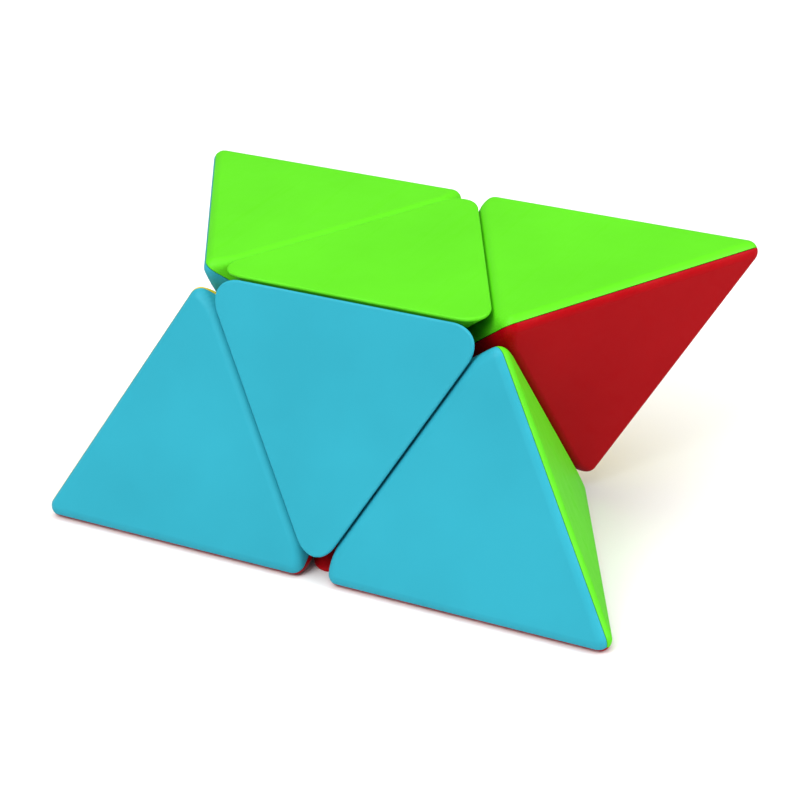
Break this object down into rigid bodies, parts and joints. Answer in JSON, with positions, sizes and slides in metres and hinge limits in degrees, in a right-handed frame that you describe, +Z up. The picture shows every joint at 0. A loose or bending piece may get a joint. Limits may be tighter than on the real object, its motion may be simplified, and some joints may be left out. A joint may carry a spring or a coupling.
{
  "type": "pyramid twisty puzzle",
  "caption": "Pyramid-shaped twisty puzzle in blue, green, red and yellow plastic, lying on its red face with its upper half turned, whose halves turn about a core inside.",
  "frame": {"origin": "centre of the outer face of the red centre cap, on the surface that the puzzle lies on", "axes": "+Z up, away from the red face; +X to the right along the two long ridges; +Y to the back, away from the blue face; the front blue face leans back"},
  "size_m": [0.0712, 0.0422, 0.0306],
  "materials": {
    "blue": "satin moulded plastic, sky blue",
    "green": "satin moulded plastic, lime green",
    "red": "satin moulded plastic, red",
    "yellow": "satin moulded plastic, yellow",
    "mechanism": "moulded black plastic",
    "steel": "zinc-plated steel"
  },
  "bodies": {
    "base": {"core": "mechanism", "red_centre_cap": "red", "red_centre_foot": "mechanism", "hub_lower": "mechanism", "hub_rear_right": "mechanism", "hub_rear_left": "mechanism", "screw_upper": "steel", "screw_left": "steel", "screw_right": "steel", "screw_lower": "steel", "screw_rear_right": "steel", "screw_rear_left": "steel", "spring_upper": "steel", "spring_left": "steel", "spring_right": "steel", "spring_lower": "steel", "spring_rear_right": "steel", "spring_rear_left": "steel", "edge_block_lower_rear_right": "mechanism", "edge_block_lower_rear_left": "mechanism", "edge_block_rear_right_rear_left": "mechanism"},
    "left_half": {"lower_left_corner_foot": "mechanism", "lower_left_corner_blue_shell": "blue", "lower_left_corner_yellow_shell": "yellow", "lower_left_corner_red_shell": "red", "hub_left": "mechanism", "edge_block_left_rear_left": "mechanism", "edge_block_left_lower": "mechanism"},
    "right_half": {"lower_right_corner_foot": "mechanism", "lower_right_corner_green_shell": "green", "lower_right_corner_blue_shell": "blue", "lower_right_corner_red_shell": "red", "hub_right": "mechanism", "edge_block_right_rear_right": "mechanism", "edge_block_right_lower": "mechanism"},
    "upper_half": {"yellow_centre_cap": "yellow", "yellow_centre_foot": "mechanism", "hub_upper": "mechanism", "edge_block_upper_rear_right": "mechanism", "edge_block_upper_rear_left": "mechanism"},
    "blue_centre": {"blue_centre_cap": "blue", "blue_centre_foot": "mechanism", "edge_block_left_right": "mechanism"},
    "upper_left_corner": {"upper_left_corner_foot": "mechanism", "upper_left_corner_green_shell": "green", "upper_left_corner_yellow_shell": "yellow", "upper_left_corner_blue_shell": "blue", "edge_block_upper_left": "mechanism"},
    "upper_right_corner": {"upper_right_corner_foot": "mechanism", "upper_right_corner_green_shell": "green", "upper_right_corner_red_shell": "red", "upper_right_corner_yellow_shell": "yellow", "edge_block_upper_right": "mechanism"},
    "green_centre": {"green_centre_cap": "green", "green_centre_foot": "mechanism"}
  },
  "joints": [
    {"name": "left_half_turn", "type": "hinge", "parent": "base", "child": "left_half", "pos_m": [0, 0, 0.01531], "axis": [-0.7071, -0.4082, 0.5774], "range_deg": [-360, 360]},
    {"name": "right_half_turn", "type": "hinge", "parent": "base", "child": "right_half", "pos_m": [0, 0, 0.01531], "axis": [0.7071, -0.4082, 0.5774], "range_deg": [-360, 360]},
    {"name": "upper_half_turn", "type": "hinge", "parent": "base", "child": "upper_half", "pos_m": [0, 0, 0.01531], "axis": [0, 0.8165, 0.5773], "continuous": true},
    {"name": "blue_centre_with_right_half", "type": "hinge", "parent": "left_half", "child": "blue_centre", "pos_m": [0, 0, 0.01531], "axis": [0.7071, -0.4082, 0.5774], "range_deg": [-360, 360]},
    {"name": "upper_left_with_upper_half", "type": "hinge", "parent": "left_half", "child": "upper_left_corner", "pos_m": [0, 0, 0.01531], "axis": [0, 0.8165, 0.5773], "continuous": true},
    {"name": "upper_right_with_upper_half", "type": "hinge", "parent": "right_half", "child": "upper_right_corner", "pos_m": [0, 0, 0.01531], "axis": [0, 0.8165, 0.5773], "continuous": true},
    {"name": "green_centre_with_upper_half", "type": "hinge", "parent": "blue_centre", "child": "green_centre", "pos_m": [0, 0, 0.01531], "axis": [0, 0.8165, 0.5773], "continuous": true}
  ],
  "couplings": [
    {"joint": "blue_centre_with_right_half", "follows": "right_half_turn", "ratio": 1},
    {"joint": "upper_left_with_upper_half", "follows": "upper_half_turn", "ratio": 1},
    {"joint": "upper_right_with_upper_half", "follows": "upper_half_turn", "ratio": 1},
    {"joint": "green_centre_with_upper_half", "follows": "upper_half_turn", "ratio": 1}
  ]
}
